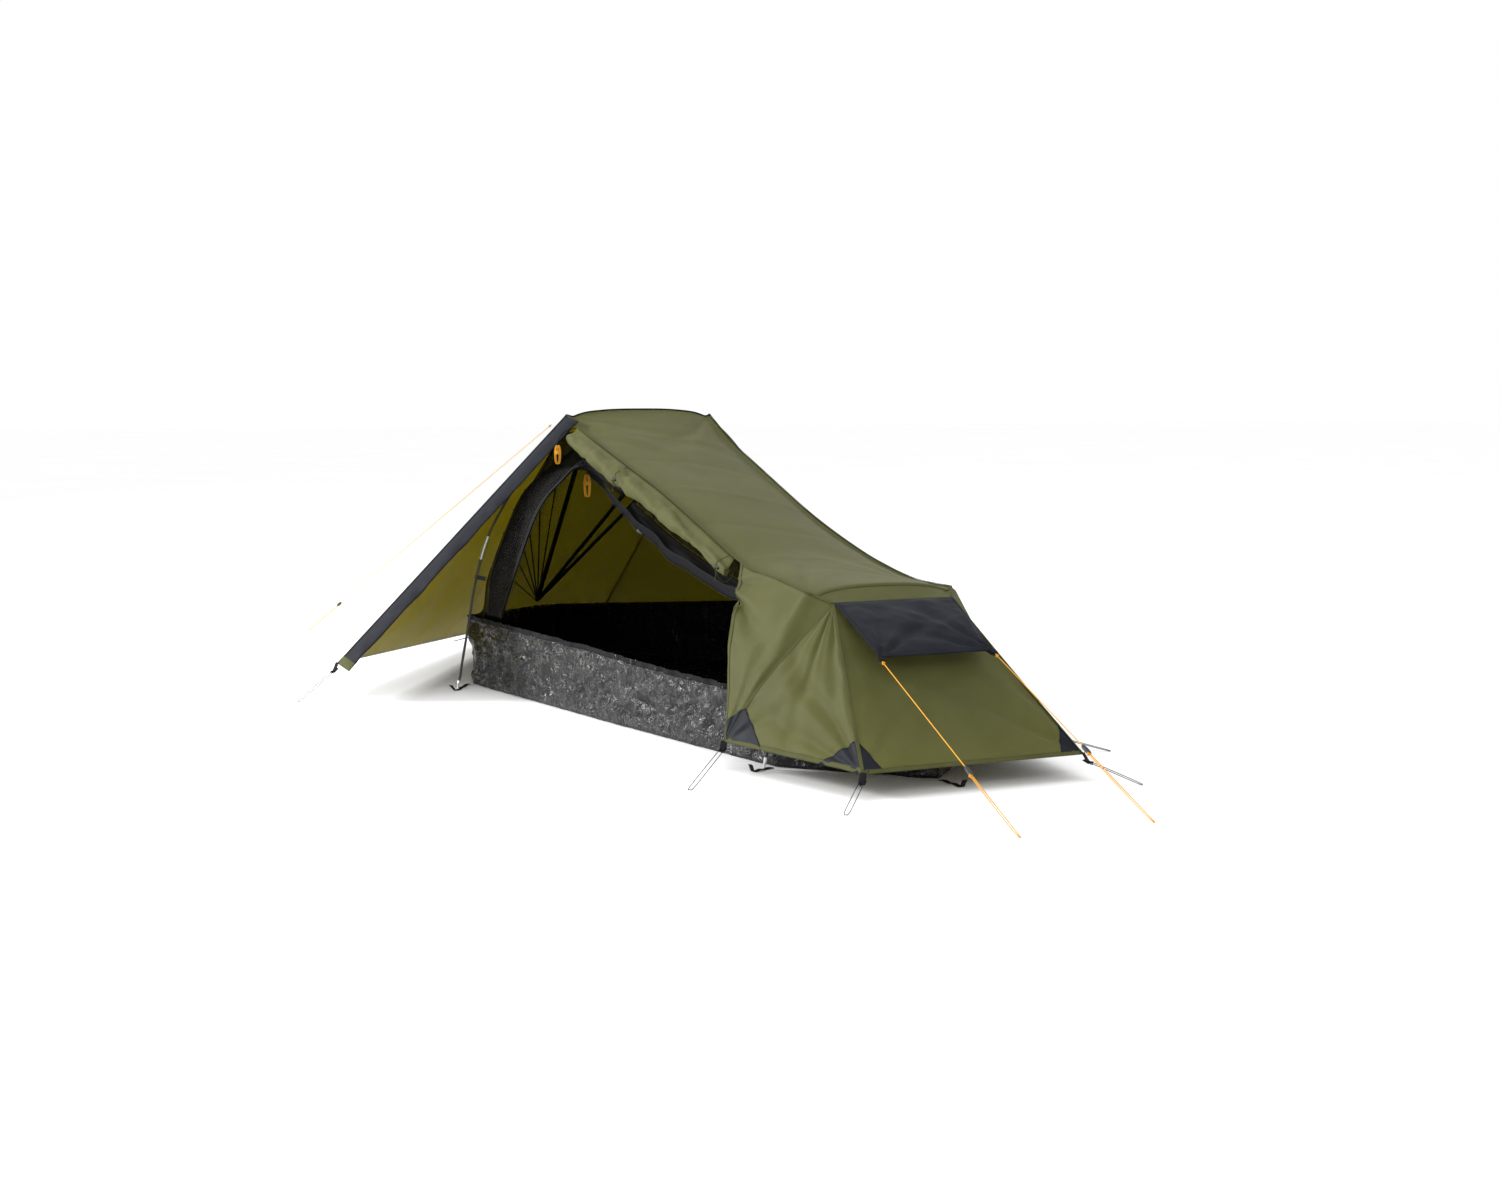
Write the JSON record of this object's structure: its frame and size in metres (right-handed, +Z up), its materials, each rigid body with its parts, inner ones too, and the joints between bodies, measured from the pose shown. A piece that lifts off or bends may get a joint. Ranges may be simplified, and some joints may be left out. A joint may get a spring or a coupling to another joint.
{
  "type": "frame tent",
  "caption": "Small hoop-pole frame tent with a fly, a hung mesh inner tent, a tray floor, an open side door with a vestibule and a guyed foot vent.",
  "frame": {"origin": "on the ground under the middle of the main hoop, on the underside of the tray floor", "axes": "+X from the main hoop towards the foot end, +Z up, -Y towards the open door"},
  "size_m": [4.5211, 1.8782, 0.9233],
  "materials": {
    "fly_cloth": "olive green coated polyester, plain weave with a slight sheen",
    "navy_cloth": "dark navy coated polyester",
    "groundsheet": "black woven laminated polyethylene, crinkled and glossy",
    "mesh_cloth": "fine black insect mesh",
    "pole": "black glass-fibre pole, satin",
    "bright_metal": "plated steel",
    "black_plastic": "moulded black acetal",
    "webbing": "black woven webbing",
    "guyline": "yellow-orange braided cord",
    "elastic": "black sheathed elastic cord"
  },
  "bodies": {
    "tent": {"main_pole_near_leg": "pole", "main_pole_arch": "pole", "main_pole_far_leg": "pole", "foot_pole_near_leg": "pole", "foot_pole_arch": "pole", "foot_pole_far_leg": "pole", "main_ferrule_near": "bright_metal", "main_ferrule_far": "bright_metal", "foot_ferrule_near": "bright_metal", "foot_ferrule_far": "bright_metal", "main_tip_near": "bright_metal", "main_tip_far": "bright_metal", "foot_tip_near": "bright_metal", "foot_tip_far": "bright_metal", "fly_roof": "fly_cloth", "fly_far_side": "fly_cloth", "fly_head_end": "fly_cloth", "fly_head_far": "fly_cloth", "fly_vestibule": "fly_cloth", "fly_near_foot_side": "fly_cloth", "fly_far_foot_side": "fly_cloth", "fly_near_corner": "fly_cloth", "fly_far_corner": "fly_cloth", "fly_foot_end": "fly_cloth", "fly_vent_band": "fly_cloth", "rolled_door": "fly_cloth", "storm_flap": "navy_cloth", "vent_hood": "navy_cloth", "bathtub_floor": "groundsheet", "inner_roof": "mesh_cloth", "inner_far_mesh": "mesh_cloth", "inner_front_mesh": "mesh_cloth", "inner_head_mesh": "mesh_cloth", "inner_foot_mesh": "mesh_cloth", "inner_door_gathered": "mesh_cloth", "main_webbing_near": "webbing", "main_webbing_far": "webbing", "foot_webbing_near": "webbing", "foot_webbing_far": "webbing", "webbing_foot_tip": "webbing", "guyline_near": "guyline", "guyline_far": "guyline", "guyline_rear": "guyline", "hank_hoop": "guyline", "hank_door": "guyline", "peg_loop_flap": "elastic", "peg_loop_near_side": "elastic", "peg_loop_near_foot": "elastic", "peg_loop_far_foot": "elastic", "peg_loop_far_side": "elastic", "peg_loop_head": "elastic", "pole_clip_near": "black_plastic", "pole_clip_far": "black_plastic"},
    "fly_zip_slider": {"fly_zip_slider": "bright_metal"},
    "inner_zip_slider": {"inner_zip_slider": "bright_metal"},
    "toggle_upper": {"toggle_upper": "black_plastic"},
    "toggle_lower": {"toggle_lower": "black_plastic"},
    "tensioner_near": {"tensioner_near": "black_plastic"},
    "tensioner_far": {"tensioner_far": "black_plastic"},
    "tensioner_rear": {"tensioner_rear": "black_plastic"}
  },
  "joints": [
    {"name": "fly_zip_travel", "type": "slide", "parent": "tent", "child": "fly_zip_slider", "axis": [0, -0.7049, -0.7093], "range_m": [0, 0.95]},
    {"name": "inner_zip_travel", "type": "slide", "parent": "tent", "child": "inner_zip_slider", "axis": [0.9633, 0.0225, -0.2673], "range_m": [-0.2, 0.2]},
    {"name": "tensioner_near_travel", "type": "slide", "parent": "tent", "child": "tensioner_near", "axis": [0.9041, -0.0206, -0.4269], "range_m": [-0.36, 0.18]},
    {"name": "tensioner_far_travel", "type": "slide", "parent": "tent", "child": "tensioner_far", "axis": [0.9041, 0.0206, -0.4269], "range_m": [-0.33, 0.22]},
    {"name": "tensioner_rear_travel", "type": "slide", "parent": "tent", "child": "tensioner_rear", "axis": [-0.8829, -0.208, -0.421], "range_m": [-1.2, 0.25]},
    {"name": "toggle_upper_swing", "type": "hinge", "parent": "tent", "child": "toggle_upper", "pos_m": [0.553, -0.31, 0.711], "axis": [0, -1, 0], "range_deg": [-90, 90]},
    {"name": "toggle_lower_swing", "type": "hinge", "parent": "tent", "child": "toggle_lower", "pos_m": [1.265, -0.284, 0.493], "axis": [0, -1, 0], "range_deg": [-90, 90]}
  ]
}
